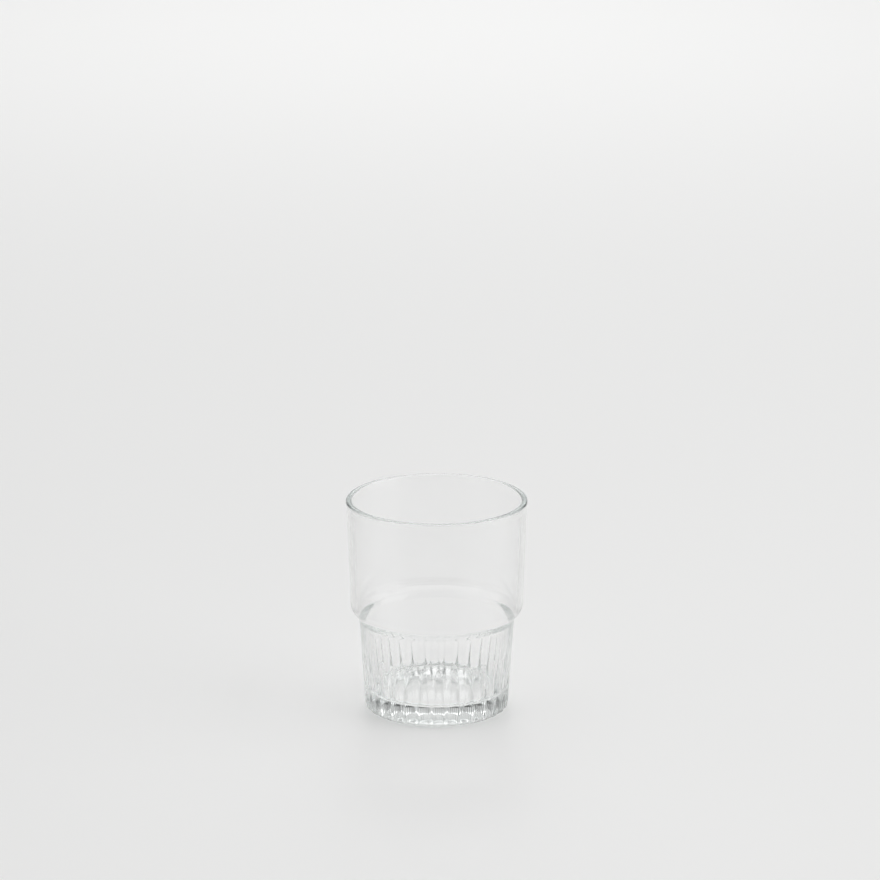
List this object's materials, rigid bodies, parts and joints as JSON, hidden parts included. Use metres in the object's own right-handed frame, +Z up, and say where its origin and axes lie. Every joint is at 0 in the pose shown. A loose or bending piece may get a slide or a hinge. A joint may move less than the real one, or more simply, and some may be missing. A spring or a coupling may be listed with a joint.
{
  "type": "stacking tumbler",
  "caption": "Clear pressed-glass water tumbler with a smooth tapered upper wall, a stacking step, a fluted lower wall and a thick flat foot.",
  "frame": {"origin": "middle of the flat ring that the glass stands on", "axes": "+Z up along the glass's axis towards the rim, +X through the middle of a flute"},
  "size_m": [0.072, 0.072, 0.086],
  "materials": {
    "clear_glass": "clear fire-polished soda-lime glass, smooth and glossy, with a faint grey-green tint where it is thick"
  },
  "bodies": {
    "root": {"tumbler": "clear_glass"}
  },
  "joints": []
}
